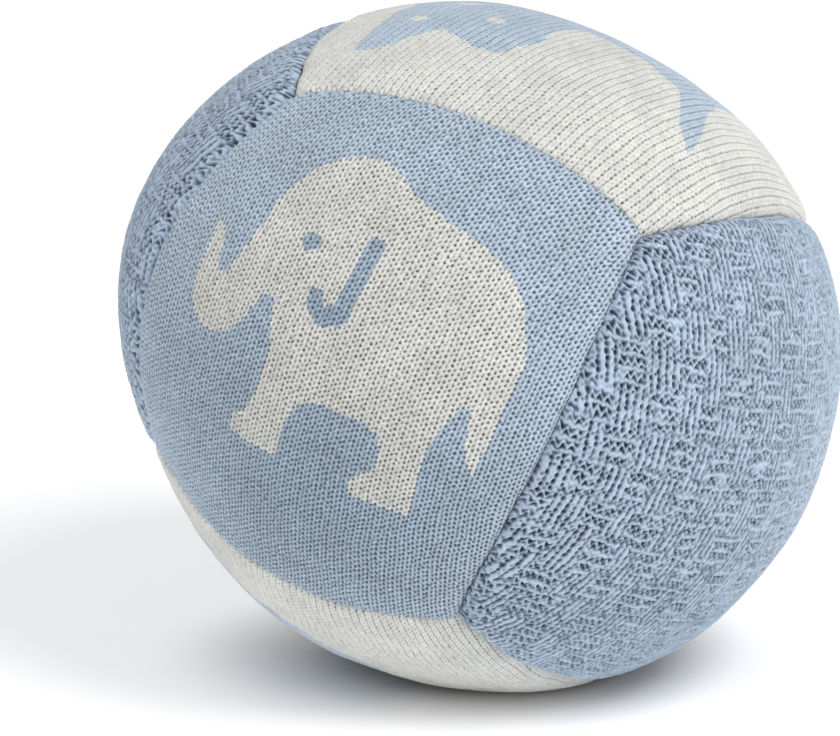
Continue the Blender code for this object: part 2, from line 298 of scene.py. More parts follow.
def stuffed_shape():
    """{face: how far the stuffing moves it, at a grid of places}, from a pressurised cloth cage.

    The cage's seams are held a little in from the round shape, and the knitting swells between.
    """
    steps = np.linspace(0, 1, CAGE_STEPS + 1)
    count = CAGE_STEPS + 1
    directions = np.concatenate([patch(face, steps, steps).reshape(-1, 3) for face in FACES])
    faces = np.concatenate([grid_faces(count, count, k * count * count) for k in range(6)])
    on_seam = np.zeros((count, count), bool)
    on_seam[[0, -1], :] = on_seam[:, [0, -1]] = True
    on_seam = np.tile(on_seam.ravel(), 6)
    start = directions * (radius_towards(directions) - CAGE_INSET)[:, None]
    points, quads, index = weld(start, faces)
    held = np.zeros(len(points), bool)
    held[index[on_seam]] = True

    mesh = bpy.data.meshes.new("cage")
    mesh.from_pydata(points.tolist(), [], quads.tolist())
    cage = bpy.data.objects.new("cage", mesh)
    bpy.context.collection.objects.link(cage)
    seam_group = cage.vertex_groups.new(name="seam")
    seam_group.add(np.flatnonzero(held).tolist(), 1.0, "REPLACE")
    cloth = cage.modifiers.new("stuffing", "CLOTH")
    settings = cloth.settings
    settings.quality = 6
    settings.mass = 0.0003
    settings.tension_stiffness = 12
    settings.compression_stiffness = 12
    settings.shear_stiffness = 4
    settings.bending_stiffness = 0.4
    settings.use_pressure = True
    settings.uniform_pressure_force = 4
    settings.vertex_group_mass = "seam"
    settings.pin_stiffness = 1.0
    settings.effector_weights.gravity = 0
    cloth.collision_settings.use_collision = False
    cloth.point_cache.frame_start, cloth.point_cache.frame_end = 1, STUFFING_FRAMES
    scene = bpy.context.scene
    for number in range(1, STUFFING_FRAMES + 1):
        scene.frame_set(number)
    evaluated = cage.evaluated_get(bpy.context.evaluated_depsgraph_get())
    swollen = np.empty(len(points) * 3)
    evaluated.data.vertices.foreach_get("co", swollen)
    scene.frame_set(1)
    bpy.data.objects.remove(cage, do_unlink=True)

    moved = swollen.reshape(-1, 3) - points
    far = np.linalg.norm(moved, axis=1, keepdims=True)
    moved *= np.minimum(1, MOST_SWELL / np.maximum(far, 1e-9))
    moved = moved[index].reshape(6, count, count, 3)
    return dict(zip(FACES, moved))


def cubic_weights(places, count):
    """A matrix that reads a row of evenly spaced values at these places, as a Catmull-Rom curve."""
    at = np.asarray(places) * (count - 1)
    cell = np.clip(np.floor(at).astype(int), 0, count - 2)
    t = at - cell
    taps = [
        -0.5 * t + t**2 - 0.5 * t**3,
        1 - 2.5 * t**2 + 1.5 * t**3,
        0.5 * t + 2 * t**2 - 1.5 * t**3,
        -0.5 * t**2 + 0.5 * t**3,
    ]
    weights = np.zeros((len(at), count))
    for k, tap in enumerate(taps):
        np.add.at(weights, (np.arange(len(at)), np.clip(cell + k - 1, 0, count - 1)), tap)
    return weights


def read_field(field, u, v):
    """A cage field of one face at every (v, u) of two lists."""
    count = field.shape[0]
    along, across = cubic_weights(v, count), cubic_weights(u, count)
    return np.stack([along @ field[..., k] @ across.T for k in range(3)], axis=-1)


# ---------------------------------------------------------------- stitches


def stitch_places(face, direction, u, v):
    """The wale and course at each place of a face.

    The cloth was knitted flat and stretched over the ball, so both run straight over it. How large
    a stitch is changes from the middle of the panel to its seams.
    """
    knit = "thick" if face in TEXTURED else "thin"
    straight = RUNS_STRAIGHT.get(face, 1.0)
    places = []
    for axis, share, (middle, edge) in zip(face_axes(face)[1:], (u, v), STITCHES[knit]):
        around = np.arcsin(np.clip(direction @ axis, -1, 1)) / math.radians(45)
        across = straight * around + (1 - straight) * (2 * share - 1)
        stretch = (1 - middle / edge) / 3  # so that a stitch beside a seam has the edge size
        places.append(100 + SIDE / 2 / middle * across * (1 - stretch * across**2))
    return places


def at_stitch(u, v, x, y, new_x, new_y):
    """The places of a panel, moved by a part of a stitch from (x, y) to (new_x, new_y)."""
    x_down, x_along = np.gradient(x)
    y_down, y_along = np.gradient(y)
    area = x_along * y_down - x_down * y_along
    to_x, to_y = new_x - x, new_y - y
    along = (to_x * y_down - to_y * x_down) / area
    down = (to_y * x_along - to_x * y_along) / area
    return u + along * (u[0, 1] - u[0, 0]), v + down * (v[1, 0] - v[0, 0])


def jersey(x, y, foot, spread, yarn, reach):
    """Plain knitting: (height from 0 to 1, the wale and course that each point belongs to).

    A stitch shows as a V: two yarns that part from the middle of its foot.
    """
    wale = np.floor(x)
    across = np.abs(x - wale - 0.5)  # both legs at once
    best = np.zeros_like(x)
    owner = np.floor(y)
    for step in (-1, 0, 1):
        course = np.floor(y) + step
        along = y - course
        off = (across - foot - spread * along) / yarn
        arch = 1 - ((along - 0.50) / reach) ** 2
        height = np.clip(1 - off**2, 0, 1) ** 0.6 * np.clip(arch, 0, 1) ** 0.6
        higher = height > best
        best = np.where(higher, height, best)
        owner = np.where(higher, course, owner)
    return best, wale, owner


def pits(seed, x, y, place, radius, strength, stagger=0.0, edge=1.3):
    """The holes between the yarns, from 0 to 1: one for each stitch.

    The place is in stitches, and so are the radius and how far every other row is staggered. No two
    holes are quite the same.
    """
    row = np.floor(y - place[1] + 0.5)
    first = place[0] + stagger * (row % 2)
    column = np.floor(x - first + 0.5)
    i, j = column + 0.5, row + 0.5
    across = x - first - column - 0.12 * value_noise(seed + 1, i * 1.31, j * 1.77)
    along = y - place[1] - row - 0.18 * value_noise(seed + 2, i * 1.91, j * 1.13)
    size = 1 + 0.22 * value_noise(seed + 3, i * 1.7, j * 1.3)
    low, high = strength
    depth = low + (high - low) * (0.5 + 0.5 * value_noise(seed, i * 1.37, j * 1.61))
    away = (across / (radius[0] * size)) ** 2 + (along / (radius[1] * size)) ** 2
    return np.clip(depth, 0, 1) * np.exp(-0.7 * away**edge)


def fine_knit(seed, x, y, ribbed):
    """The thin knit: a close net of yarn, with a small hole in each stitch and one between stitches.

    Ribbed knitting shows a groove between its wales, and hardly the holes in its stitches.
    """
    reach = 0.85 if ribbed else 0.64
    legs, wale, course = jersey(x, y, foot=0.10, spread=0.32, yarn=0.26, reach=reach)
    crossing, inner = ((0.35, 1.00), (-0.40, 0.60)) if ribbed else ((0.75, 1.20), (0.40, 1.05))
    hole = np.maximum(
        pits(seed + 10, x, y, (0.0, 0.0), FINE_HOLE, crossing),
        pits(seed + 20, x, y, (0.5, 0.5), FINE_HOLE, inner),
    )
    between = np.exp(-(((x - np.floor(x + 0.5)) / 0.09) ** 2))
    groove = 0.24 if ribbed else 0.10
    return (0.56 + 0.44 * legs - groove * between) * (1 - hole), wale, course


def thick_knit(seed, x, y):
    """The thick knit: blocks of smooth ribs and of purled bumps, like squares on a board."""
    block_x = x / BLOCK_WALES + 0.32 * value_noise(seed + 7, x / 3, y / 5)
    block_y = y / BLOCK_COURSES + 0.30 * value_noise(seed + 8, x / 3, y / 5)
    block = np.sin(np.pi * block_x) * np.sin(np.pi * block_y)
    purled = np.clip(0.5 - 2.2 * block, 0, 1)
    legs, wale, course = jersey(x, y, foot=0.10, spread=0.26, yarn=0.27, reach=0.80)
    uneven = 0.9 + 0.6 * value_noise(seed + 9, np.floor(x + 0.5) * 1.3 + 0.5, y * 0.5)
    between = np.exp(-(((x - np.floor(x + 0.5)) / 0.14) ** 2))
    hole = np.maximum(
        pits(seed + 10, x, y, (0.0, 0.35), (0.20, 0.36), (0.15, 1.60)),
        pits(seed + 20, x, y, (0.5, 0.85), (0.16, 0.24), (-0.60, 0.85)),
    )
    smooth = (0.78 + 0.18 * legs - 0.22 * between * uneven) * (1 - hole)

    waved = y + 0.27 * np.cos(2 * np.pi * x) + 0.30 * value_noise(seed + 11, x * 0.9, y * 0.4)
    from_bar = 2 * np.abs((waved + 0.5) % 1 - 0.5)
    bumps = 0.92 - 0.16 * from_bar**2
    hole = pits(seed + 30, x, waved, (0.5, 0.5), (0.29, 0.30), (0.00, 1.70), stagger=0.5, edge=1.5)
    return purled * bumps * (1 - hole) + (1 - purled) * smooth, wale, course


# ---------------------------------------------------------------- the knitted pictures


def closed_curve(points, steps=6):
    """A closed Catmull-Rom curve through the points. A point given as (x, y, 1) is a sharp corner."""
    flat = [np.array(p[:2], float) for p in points]
    sharp = [len(p) > 2 for p in points]
    out = []
    count = len(flat)
    for k in range(count):
        p0, p1, p2, p3 = (flat[(k + s) % count] for s in (-1, 0, 1, 2))
        if sharp[k]:
            p0 = p1
        if sharp[(k + 1) % count]:
            p3 = p2
        for t in np.arange(steps) / steps:
            out.append(
                0.5
                * (
                    2 * p1
                    + (p2 - p0) * t
                    + (2 * p0 - 5 * p1 + 4 * p2 - p3) * t**2
                    + (3 * p1 - p0 - 3 * p2 + p3) * t**3
                )
            )
    return np.array(out)


def inside(outline, x, y):
    """Which points are inside a closed outline."""
    crossings = np.zeros(x.shape, bool)
    for (x1, y1), (x2, y2) in zip(outline, np.roll(outline, -1, axis=0)):
        if y1 == y2:
            continue
        between = (y1 > y) != (y2 > y)
        crossings ^= between & (x < (x2 - x1) * (y - y1) / (y2 - y1) + x1)
    return crossings


# An elephant with its trunk raised, in hundredths of the panel, from its lower left corner.
ELEPHANT = closed_curve(
    [
        (18.0, 62.4, 1), (19.0, 57.3), (19.8, 51.9), (22.5, 47.1), (27.5, 45.2), (32.0, 46.4),
        (35.2, 49.9), (36.5, 54.5, 1), (39.0, 54.6, 1), (40.5, 50.9), (42.5, 46.5), (42.5, 40.6),
        (41.3, 37.0), (39.0, 35.2), (39.2, 32.5, 1), (49.5, 32.3, 1), (49.4, 37.2), (50.3, 41.1),
        (52.8, 43.4), (58.0, 43.7), (63.8, 43.6), (66.2, 41.4), (66.6, 37.5), (63.7, 34.8),
        (64.0, 31.8, 1), (76.1, 31.5, 1), (75.6, 37.7), (74.6, 43.1), (75.4, 47.7), (77.3, 51.7, 1),
        (79.0, 51.7), (80.8, 47.0), (82.3, 44.5), (85.2, 42.1, 1), (85.5, 46.5), (85.0, 54.3),
        (85.2, 62.1), (83.0, 65.8), (79.0, 70.7), (73.0, 74.1), (64.0, 75.9), (56.5, 77.0),
        (50.5, 78.6), (46.5, 81.0), (41.5, 82.2), (36.0, 81.0), (31.8, 77.6), (29.3, 72.9),
        (28.3, 68.0), (28.5, 63.6), (28.0, 58.7), (27.1, 54.9, 1), (24.6, 54.1, 1), (23.0, 57.7),
        (21.6, 60.7),
    ]
)
SMALL_ELEPHANT = 0.85  # the size of the one on the bottom panel, against the others
ELEPHANT_EYE = closed_curve([(37.9, 64.6), (39.9, 66.1), (41.9, 64.6), (39.9, 63.0)])
ELEPHANT_EAR = closed_curve(
    [
        (49.3, 68.8, 1), (52.3, 68.8, 1), (52.5, 56.9), (50.8, 54.5), (47.5, 54.1), (44.6, 56.1),
        (43.7, 58.6, 1), (46.6, 58.6, 1), (47.6, 56.7), (49.2, 57.6, 1),
    ]
)

# A four-legged animal with its head turned to us and its tail up, standing on the panel's top.
ANIMAL = closed_curve(
    [
        (15.5, 16.0, 1), (21.5, 17.0), (27.0, 22.0), (31.5, 26.6, 1), (37.0, 24.0), (43.8, 22.7),
        (46.2, 28.0), (47.7, 31.5), (46.8, 37.0), (48.3, 44.0), (54.5, 45.5), (62.0, 45.0),
        (67.3, 43.2), (70.0, 40.0), (75.5, 33.0), (82.3, 27.9, 1), (79.5, 34.5), (75.0, 42.0),
        (72.8, 48.0), (73.0, 57.0), (74.5, 74.0, 1), (67.0, 74.0, 1), (64.5, 62.0), (58.0, 59.5),
        (50.0, 60.0), (47.0, 63.0), (46.5, 74.0, 1), (39.5, 74.0, 1), (38.5, 62.0), (35.0, 50.5),
        (27.5, 50.5), (20.5, 45.0), (18.3, 36.0), (17.2, 26.0),
    ]
)
ANIMAL_MARKS = [
    closed_curve([(23.2, 30.4), (25.0, 31.8), (26.8, 30.4), (25.0, 29.0)]),
    closed_curve([(36.2, 34.5), (38.0, 35.9), (39.8, 34.5), (38.0, 33.1)]),
    closed_curve([(27.0, 42.0), (29.5, 43.6), (32.0, 42.0), (29.5, 40.4)]),
]


def face_marks(u, v):
    """Where the elephant's eye and ear are. Their blue is packed denser than the ground's."""
    return inside(ELEPHANT_EAR, 100 * u, 100 * v) | inside(ELEPHANT_EYE, 100 * u, 100 * v)


def painted_shade_and_dense_blue(face, u, v):
    """How much darker the blue is, from 0 to 1: painted shade low down, and the eye and ear's denser
    blue.
    """
    if face in RIBBED:
        return np.zeros_like(u)
    # Painted shade, darkest low down in the middle of the panel.
    painted_low_shade = np.exp(-(((u - 0.62) / 0.36) ** 2) - ((v - 0.26) / 0.34) ** 2)
    return np.maximum(painted_low_shade, face_marks(u, v))


def picture(face, u, v):
    """Whether the second colour shows at each place of a panel."""
    x, y = 100 * u, 100 * v
    if face == "bottom":  # a smaller elephant, further to the left
        x = 79.0 + (x - 58.5) / SMALL_ELEPHANT
        y = 70.7 + (y - 73.0) / SMALL_ELEPHANT
    if face != "top":
        return inside(ELEPHANT, x, y) & ~face_marks(x / 100, y / 100)
    marks = np.zeros(x.shape, bool)
    for mark in ANIMAL_MARKS:
        marks |= inside(mark, x, y)
    return inside(ANIMAL, x, y) & ~marks


# ---------------------------------------------------------------- building meshes


def new_object(name, points, faces, material, attributes=None):
    """A smooth mesh object. An attribute is given as its value at every point."""
    mesh = bpy.data.meshes.new(name)
    mesh.vertices.add(len(points))
    mesh.vertices.foreach_set("co", np.asarray(points, np.float32).ravel())
    faces = np.asarray(faces, np.int32)
    mesh.loops.add(faces.size)
    mesh.loops.foreach_set("vertex_index", faces.ravel())
    mesh.polygons.add(len(faces))
    mesh.polygons.foreach_set("loop_start", np.arange(len(faces), dtype=np.int32) * faces.shape[1])
    mesh.update(calc_edges=True)
    mesh.validate()
    mesh.shade_smooth()
    for key, values in (attributes or {}).items():
        layer = mesh.attributes.new(key, "FLOAT", "POINT")
        layer.data.foreach_set("value", np.asarray(values, np.float32).ravel())
    mesh.materials.append(material)
    obj = bpy.data.objects.new(name, mesh)
    bpy.context.collection.objects.link(obj)
    return obj


def seam_pull(face, u, v):
    """How far each place of a panel is pulled in by its four seams."""
    total = 0.0
    sides = ((v, u), (1 - v, u), (u, v), (1 - u, v))
    for (distance, along), other in zip(sides, neighbours_of(face)):
        rough = face in TEXTURED or other in TEXTURED
        depth, rounding = COARSE_SEAM if rough else FINE_SEAM
        if rough:
            uneven = 1 + 0.25 * value_noise(SEED + 90, along * 26, np.full_like(along, 0.5))
        else:
            uneven = 0.70 + 0.45 * np.cos(2 * np.pi * SEAM_STITCHES * along)
        total = total + (depth * uneven * np.exp(-distance * SIDE / rounding)) ** 4
    return total**0.25


def knitted_panel(face, swell, material):
    """One panel, stitch by stitch, with its edges turned in at the seams."""
    coarse = face in TEXTURED
    across, along = GRIDS["thick" if coarse else "thin"]
    relief = COARSE_RELIEF if coarse else FINE_RELIEF
    u = np.linspace(0, 1, across + 1)
    v = np.linspace(0, 1, along + 1)
    uu, vv = np.meshgrid(u, v)
    seed = SEED + 10 * list(FACES).index(face)
    direction = patch(face, u, v, GAP / 6)
    x, y = stitch_places(face, direction, uu, vv)
    x += 0.16 * value_noise(seed, uu * 14, vv * 14)
    y += 0.22 * value_noise(seed + 1, uu * 12, vv * 12)
    if coarse:
        x += 0.12 * value_noise(seed + 5, uu * 60, vv * 60)
        y += 0.18 * value_noise(seed + 6, uu * 60, vv * 60)
        height, wale, course = thick_knit(seed + 50, x, y)
        second = np.zeros_like(uu)
        shade_and_dense_blue = np.zeros_like(uu)
    else:
        height, wale, course = fine_knit(seed + 50, x, y, face in RIBBED)
        # A colour belongs to a whole stitch. Half of that is enough to step a picture's edge.
        nearer_x = (x + (np.floor(2 * x) + 0.5) / 2) / 2
        nearer_y = (y + course + 0.5) / 2
        second = picture(face, *at_stitch(uu, vv, x, y, nearer_x, nearer_y)).astype(float)
        # Painted shade low down, and the eye and ear's denser blue; the second colour takes less of it.
        shade_and_dense_blue = painted_shade_and_dense_blue(face, uu, vv) * (1 - 0.7 * second)
    tone = value_noise(seed + 2, wale * 1.37 + 0.5, course * 1.61 + 0.5)
    tone = 0.5 * tone + 0.5 * value_noise(seed + 3, wale * 0.31, course * 0.23)
    height_now = height * (1 + 0.10 * tone)

    depth = seam_pull(face, uu, vv) + relief * (1 - height_now)
    if coarse:
        depth -= COARSE_STAND
    depth += 0.00025 * value_noise(seed + 4, uu * 9, vv * 9)
    points = direction * (radius_towards(direction) - depth)[..., None]
    points = points + read_field(swell, u, v)
    points = to_frame(points)
    lifted = (KNIT / 6) * (1 - height)  # only the tops of the stitches touch the floor
    points[..., 2] = np.maximum(points[..., 2], lifted)

    rows, columns = uu.shape
    faces = grid_faces(rows, columns)

    # The border goes once round the grid, and each ring of it is one step deeper into the seam.
    index = np.arange(rows * columns).reshape(rows, columns)
    border = np.concatenate([index[0, :-1], index[:-1, -1], index[-1, :0:-1], index[:0:-1, 0]])
    inward = unit(CENTRE - points.reshape(-1, 3)[border])
    rings = [border]
    extra_points = [points.reshape(-1, 3)]
    base = rows * columns
    for ring in TURNED_IN:
        extra_points.append(points.reshape(-1, 3)[border] + inward * ring)
        rings.append(np.arange(len(border)) + base)
        base += len(border)
    for upper, lower in zip(rings, rings[1:]):
        quads = [upper, lower, np.roll(lower, -1), np.roll(upper, -1)]
        faces = np.concatenate([faces, np.stack(quads, axis=1)])
    extra = len(rings) - 1

    def with_border(values, edge=None):
        flat = values.ravel()
        tail = flat[border] if edge is None else np.full(len(border), edge)
        return np.concatenate([flat] + [tail] * extra)

    attributes = {
        "yarn_height": with_border(height, 0.35),  # the turned-in edge is in shade
        "yarn_tone": with_border(tone),
        "second_colour": with_border(second),
        # painted shade low down, and the eye and ear's denser blue
        "shade_and_dense_blue": with_border(shade_and_dense_blue),
    }
    return new_object(f"{face}_knit", np.concatenate(extra_points), faces, material, attributes)


# ---------------------------------------------------------------- materials


class Nodes:
    """A material's node tree, with short ways to add to it."""

    def __init__(self, name):
        self.material = bpy.data.materials.new(name)
        self.material.use_nodes = True
        self.tree = self.material.node_tree
        self.shader = self.tree.nodes["Principled BSDF"]

    def add(self, kind, **settings):
        node = self.tree.nodes.new(kind)
        for key, value in settings.items():
            setattr(node, key, value)
        return node

    def put(self, socket, value):
        if isinstance(value, bpy.types.NodeSocket):
            self.tree.links.new(value, socket)
        else:
            socket.default_value = value

    def maths(self, operation, a, b):
        node = self.add("ShaderNodeMath", operation=operation)
        self.put(node.inputs[0], a)
        self.put(node.inputs[1], b)
        return node.outputs[0]

    def attribute(self, name):
        return self.add("ShaderNodeAttribute", attribute_name=name).outputs["Fac"]

    def mix(self, factor, a, b, blend="MIX"):
        node = self.add("ShaderNodeMix", data_type="RGBA", blend_type=blend)
        self.put(node.inputs["Factor"], factor)
        self.put(node.inputs[6], a if not isinstance(a, tuple) else (*a, 1))
        self.put(node.inputs[7], b if not isinstance(b, tuple) else (*b, 1))
        return node.outputs[2]

    def ramp(self, value, low, high, to_low=0.0, to_high=1.0):
        node = self.add("ShaderNodeMapRange", interpolation_type="SMOOTHSTEP")
        for socket, number in zip(node.inputs, (value, low, high, to_low, to_high)):
            self.put(socket, number)
        return node.outputs[0]

    def noise(self, scale, detail):
        node = self.add("ShaderNodeTexNoise")
        self.put(node.inputs["Vector"], self.add("ShaderNodeTexCoord").outputs["Object"])
        node.inputs["Scale"].default_value = scale
        node.inputs["Detail"].default_value = detail
        return node.outputs["Fac"]

    def bump(self, height, strength, distance):
        node = self.add("ShaderNodeBump")
        node.inputs["Strength"].default_value = strength
        node.inputs["Distance"].default_value = distance
        self.put(node.inputs["Height"], height)
        self.put(self.shader.inputs["Normal"], node.outputs[0])


def yarn_material(name, first, second, fibre=0.00012, dark_to=0.80):
    """Cotton yarn: its colour by stitch, with painted shade down in the holes and low on a stitch and a
    painted highlight on its top, with loose fibres on it.

    Each yarn is given as (its colour in a hole, low on a stitch, on top of a stitch): painted shade in
    the first two, a painted highlight in the last. A hole's painted shade reaches up to the height
    dark_to.
    """
    n = Nodes(name)
    height = n.attribute("yarn_height")
    tone = n.attribute("yarn_tone")
    which = n.ramp(n.attribute("second_colour"), 0.42, 0.58)
    fine = n.noise(2600, 4)
    soft = n.noise(900, 2)
    broad = n.noise(55, 3)
    # Painted shade in a hole and low on a stitch, a painted highlight on its top.
    hole, low, top = (n.mix(which, a, b) for a, b in zip(first, second))

    level = n.maths("ADD", height, n.maths("MULTIPLY", n.maths("SUBTRACT", fine, 0.5), 0.35))
    # A painted highlight on the tops of the stitches, painted shade low on them and in the holes.
    colour = n.mix(n.ramp(height, 0.55, 0.97), low, top)
    colour = n.mix(n.ramp(level, 0.05, dark_to), hole, colour)
    light = n.maths("ADD", 1.0, n.maths("MULTIPLY", tone, 0.12))
    light = n.maths("ADD", light, n.maths("MULTIPLY", n.maths("SUBTRACT", fine, 0.5), 0.30))
    light = n.maths("ADD", light, n.maths("MULTIPLY", n.maths("SUBTRACT", soft, 0.5), 0.35))
    light = n.maths("ADD", light, n.maths("MULTIPLY", n.maths("SUBTRACT", broad, 0.5), 0.14))
    grey = n.add("ShaderNodeCombineColor")
    for socket in grey.inputs:
        n.put(socket, light)
    colour = n.mix(1.0, colour, grey.outputs[0], "MULTIPLY")
    # Painted shade low down on the front and back, and the denser blue of the elephant's eye and ear.
    shade_and_dense_darkening = n.maths("MULTIPLY", n.attribute("shade_and_dense_blue"), 0.9)
    colour = n.mix(shade_and_dense_darkening, colour, SHADE_AND_DENSE_TINT, "MULTIPLY")
    n.put(n.shader.inputs["Base Color"], colour)
    n.put(n.shader.inputs["Roughness"], n.ramp(fine, 0.2, 0.8, 0.82, 0.97))
    n.shader.inputs["Specular IOR Level"].default_value = 0.25
    n.shader.inputs["Sheen Weight"].default_value = 0.35
    n.shader.inputs["Sheen Roughness"].default_value = 0.45
    n.bump(fine, 0.55, fibre)
    return n.material


def plain_fibre(name, colour, scale, roughness):
    """A matt fibre with fine streaks, for the thread and the filling."""
    n = Nodes(name)
    streaks = n.noise(scale, 5)
    dark = tuple(0.72 * c for c in colour)
    n.put(n.shader.inputs["Base Color"], n.mix(n.ramp(streaks, 0.3, 0.7), dark, colour))
    n.put(n.shader.inputs["Roughness"], n.ramp(streaks, 0.2, 0.8, roughness - 0.1, roughness))
    n.shader.inputs["Sheen Weight"].default_value = 0.3
    n.bump(streaks, 0.6, 0.0002)
    return n.material


# Each yarn's colour in a hole and low on a stitch, both painted shade, and on top of a stitch, a painted
# highlight.
BLUE = ((0.095, 0.130, 0.185), (0.262, 0.322, 0.386), (0.470, 0.560, 0.655))
WHITE = ((0.050, 0.050, 0.050), (0.545, 0.545, 0.515), (0.670, 0.670, 0.638))
THICK_BLUE = ((0.030, 0.048, 0.090), (0.292, 0.362, 0.456), (0.442, 0.545, 0.676))
SHADE_AND_DENSE_TINT = (0.74, 0.77, 0.80)  # how much darker the blue is, as painted shade low down and as the denser blue of the elephant's eye and ear

blue_ground = yarn_material("blue_jacquard", BLUE, WHITE)
white_ground = yarn_material("off_white_jacquard", WHITE, BLUE)
thick_blue = yarn_material("blue_textured_knit", THICK_BLUE, THICK_BLUE, 0.0002, 0.95)
blue_cotton = plain_fibre("blue_cotton", THICK_BLUE[1], 900, 0.9)
white_cotton = plain_fibre("white_cotton", WHITE[1], 900, 0.9)
fibre = plain_fibre("white_fibre", (0.85, 0.85, 0.83), 300, 1.0)

PANEL_LOOKS = {
    # face: (its material, its slot in the CAD)
    "front": (blue_ground, "blue_jacquard"),
    "back": (blue_ground, "blue_jacquard"),
    "left": (thick_blue, "blue_textured_knit"),
    "right": (thick_blue, "blue_textured_knit"),
    "bottom": (white_ground, "off_white_jacquard"),
    "top": (white_ground, "off_white_jacquard"),
}

# ---------------------------------------------------------------- thread and filling


OVERLOCK_PITCH = 0.003  # along the seam, for each turn of its thread
OVERLOCK_MARGIN = 0.006  # where it stops short of a corner
OVERLOCK_DEPTH = 0.0075  # of its middle, below the surface
OVERLOCK_THREAD = 0.00028  # the thread's radius
CLOSING_STITCHES = 12
CLOSING_PITCH = 0.0040
CLOSING_THREAD = 0.00032
FILLING_STEPS = 48  # mesh steps along the side of a panel
FILLING_DEPTH = 0.0040  # below the surface, under the middle of a panel
SEAM_GROOVE = 0.0095  # how much deeper it is under a seam
FILLING_CLEARANCE = 0.0035  # over the floor, for the bottom panel


def tube(name, centres, radius, material, sides=6):
    """A round thread along a line of points."""
    centres = np.asarray(centres)
    ahead = unit(np.gradient(centres, axis=0))
    outward = unit(centres - CENTRE)
    across = unit(np.cross(ahead, outward))
    outward = np.cross(across, ahead)
    angles = np.arange(sides) * 2 * np.pi / sides
    cosines, sines = np.cos(angles)[:, None], np.sin(angles)[:, None]
    ring = cosines * across[:, None] + sines * outward[:, None]
    points = (centres[:, None] + radius * ring).reshape(-1, 3)
    index = np.arange(len(points)).reshape(len(centres), sides)
    turned = np.roll(index, -1, axis=1)
    quads = [index[:-1], turned[:-1], turned[1:], index[1:]]
    return new_object(name, points, np.stack([q.ravel() for q in quads], axis=1), material)


def seams():
    """Every seam once, as (face, other face, start corner, end corner)."""
    for face, other in itertools.combinations(FACES, 2):
        shared = sorted(set(corners_of(face)) & set(corners_of(other)))
        if len(shared) == 2:
            yield (face, other, *shared)


def along_seam(seam, t, sideways, depth):
    """Points beside a seam: sideways from its first face to its second, and below the surface."""
    face, other, start, end = seam
    here = seam_direction(face, other, start, end, t)
    ahead = seam_direction(face, other, start, end, t + 0.01)
    ahead = ahead - seam_direction(face, other, start, end, t - 0.01)
    across = inward_from(here, ahead, face_axes(other)[0] - face_axes(face)[0])
    way = unit(here + across * (sideways / BALL_RADIUS)[:, None])
    return way * (radius_towards(way) - depth)[:, None]


def seam_length(seam):
    """A seam's length, without its bow."""
    return BALL_RADIUS * math.acos(float(corner(seam[2]) @ corner(seam[3])))


def overlock(seam):
    """The thread that wraps a seam's two turned-in edges: a flattened spiral."""
    length = seam_length(seam)
    margin = OVERLOCK_MARGIN / length
    turns = int((length - 2 * OVERLOCK_MARGIN) / OVERLOCK_PITCH)
    phase = np.linspace(0, turns, turns * 12 + 1)
    t = margin + (1 - 2 * margin) * phase / turns
    angle = 2 * np.pi * phase
    half_width, half_height = KNIT + 0.0006, 0.0021
    sideways = half_width * np.sign(np.cos(angle)) * np.abs(np.cos(angle)) ** 0.5
    depth = OVERLOCK_DEPTH + half_height * np.sin(angle)
    name = f"seam_thread_{seam[0]}_{seam[1]}"
    blue = seam[0] in TEXTURED or seam[1] in TEXTURED
    points = to_frame(along_seam(seam, t, sideways, depth))
    points[:, 2] = np.maximum(points[:, 2], KNIT)
    cotton = blue_cotton if blue else white_cotton
    piece = tube(f"{name}_spiral", points, OVERLOCK_THREAD, cotton)
    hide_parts(name)
    return piece


def closing_stitches(seam):
    """The hand stitches that close the ball, slanting across one seam."""
    phase = np.linspace(0, CLOSING_STITCHES, CLOSING_STITCHES * 16 + 1)
    t = 0.5 + (phase - CLOSING_STITCHES / 2) * (CLOSING_PITCH / seam_length(seam))
    sideways = 0.0011 * np.clip(1.6 * np.cos(2 * np.pi * phase), -1, 1)
    depth = 0.0007 + 0.0009 * np.abs(np.cos(2 * np.pi * phase)) ** 3
    points = to_frame(along_seam(seam, t, sideways, depth))
    points[:, 2] = np.maximum(points[:, 2], 0.0006)
    piece = tube("closing_stitches", points, CLOSING_THREAD, white_cotton)
    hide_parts("closing_thread")
    return piece


def filling_body():
    """The filling: one body of clumped fibre that fills the panels, grooved under every seam."""
    steps = np.linspace(0, 1, FILLING_STEPS + 1)
    uu, vv = np.meshgrid(steps, steps)
    points, faces = [], []
    for k, face in enumerate(FACES):
        direction = patch(face, steps, steps)
        from_seam = SIDE * np.minimum(np.minimum(uu, 1 - uu), np.minimum(vv, 1 - vv))
        lumps = value_noise(SEED + 300 + k, uu * 11, vv * 11) * np.minimum(1, from_seam / 0.012)
        groove = SEAM_GROOVE * np.exp(-((from_seam / 0.0045) ** 2))
        depth = FILLING_DEPTH + groove + 0.0007 * lumps
        points.append((direction * (radius_towards(direction) - depth)[..., None]).reshape(-1, 3))
        faces.append(grid_faces(len(steps), len(steps), k * len(steps) ** 2))
    points, faces, _ = weld(np.concatenate(points), np.concatenate(faces))
    points = to_frame(points)
    points[:, 2] = np.maximum(points[:, 2], FILLING_CLEARANCE)
    piece = new_object("filling_fibre", points, faces, fibre)
    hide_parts("filling")
    return piece


# ---------------------------------------------------------------- putting it together

swell = stuffed_shape()
filling = filling_body()
panels = []
for face in FACES:
    look, slot = PANEL_LOOKS[face]
    panel = knitted_panel(face, swell[face], look)
    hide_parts(f"{face}_panel")
    panels.append(panel)
threads = [overlock(seam) for seam in seams()]
threads.append(closing_stitches(next(s for s in seams() if s[:2] == ("back", "bottom"))))
for piece in [filling, *panels, *threads]:
    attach(piece, "root")

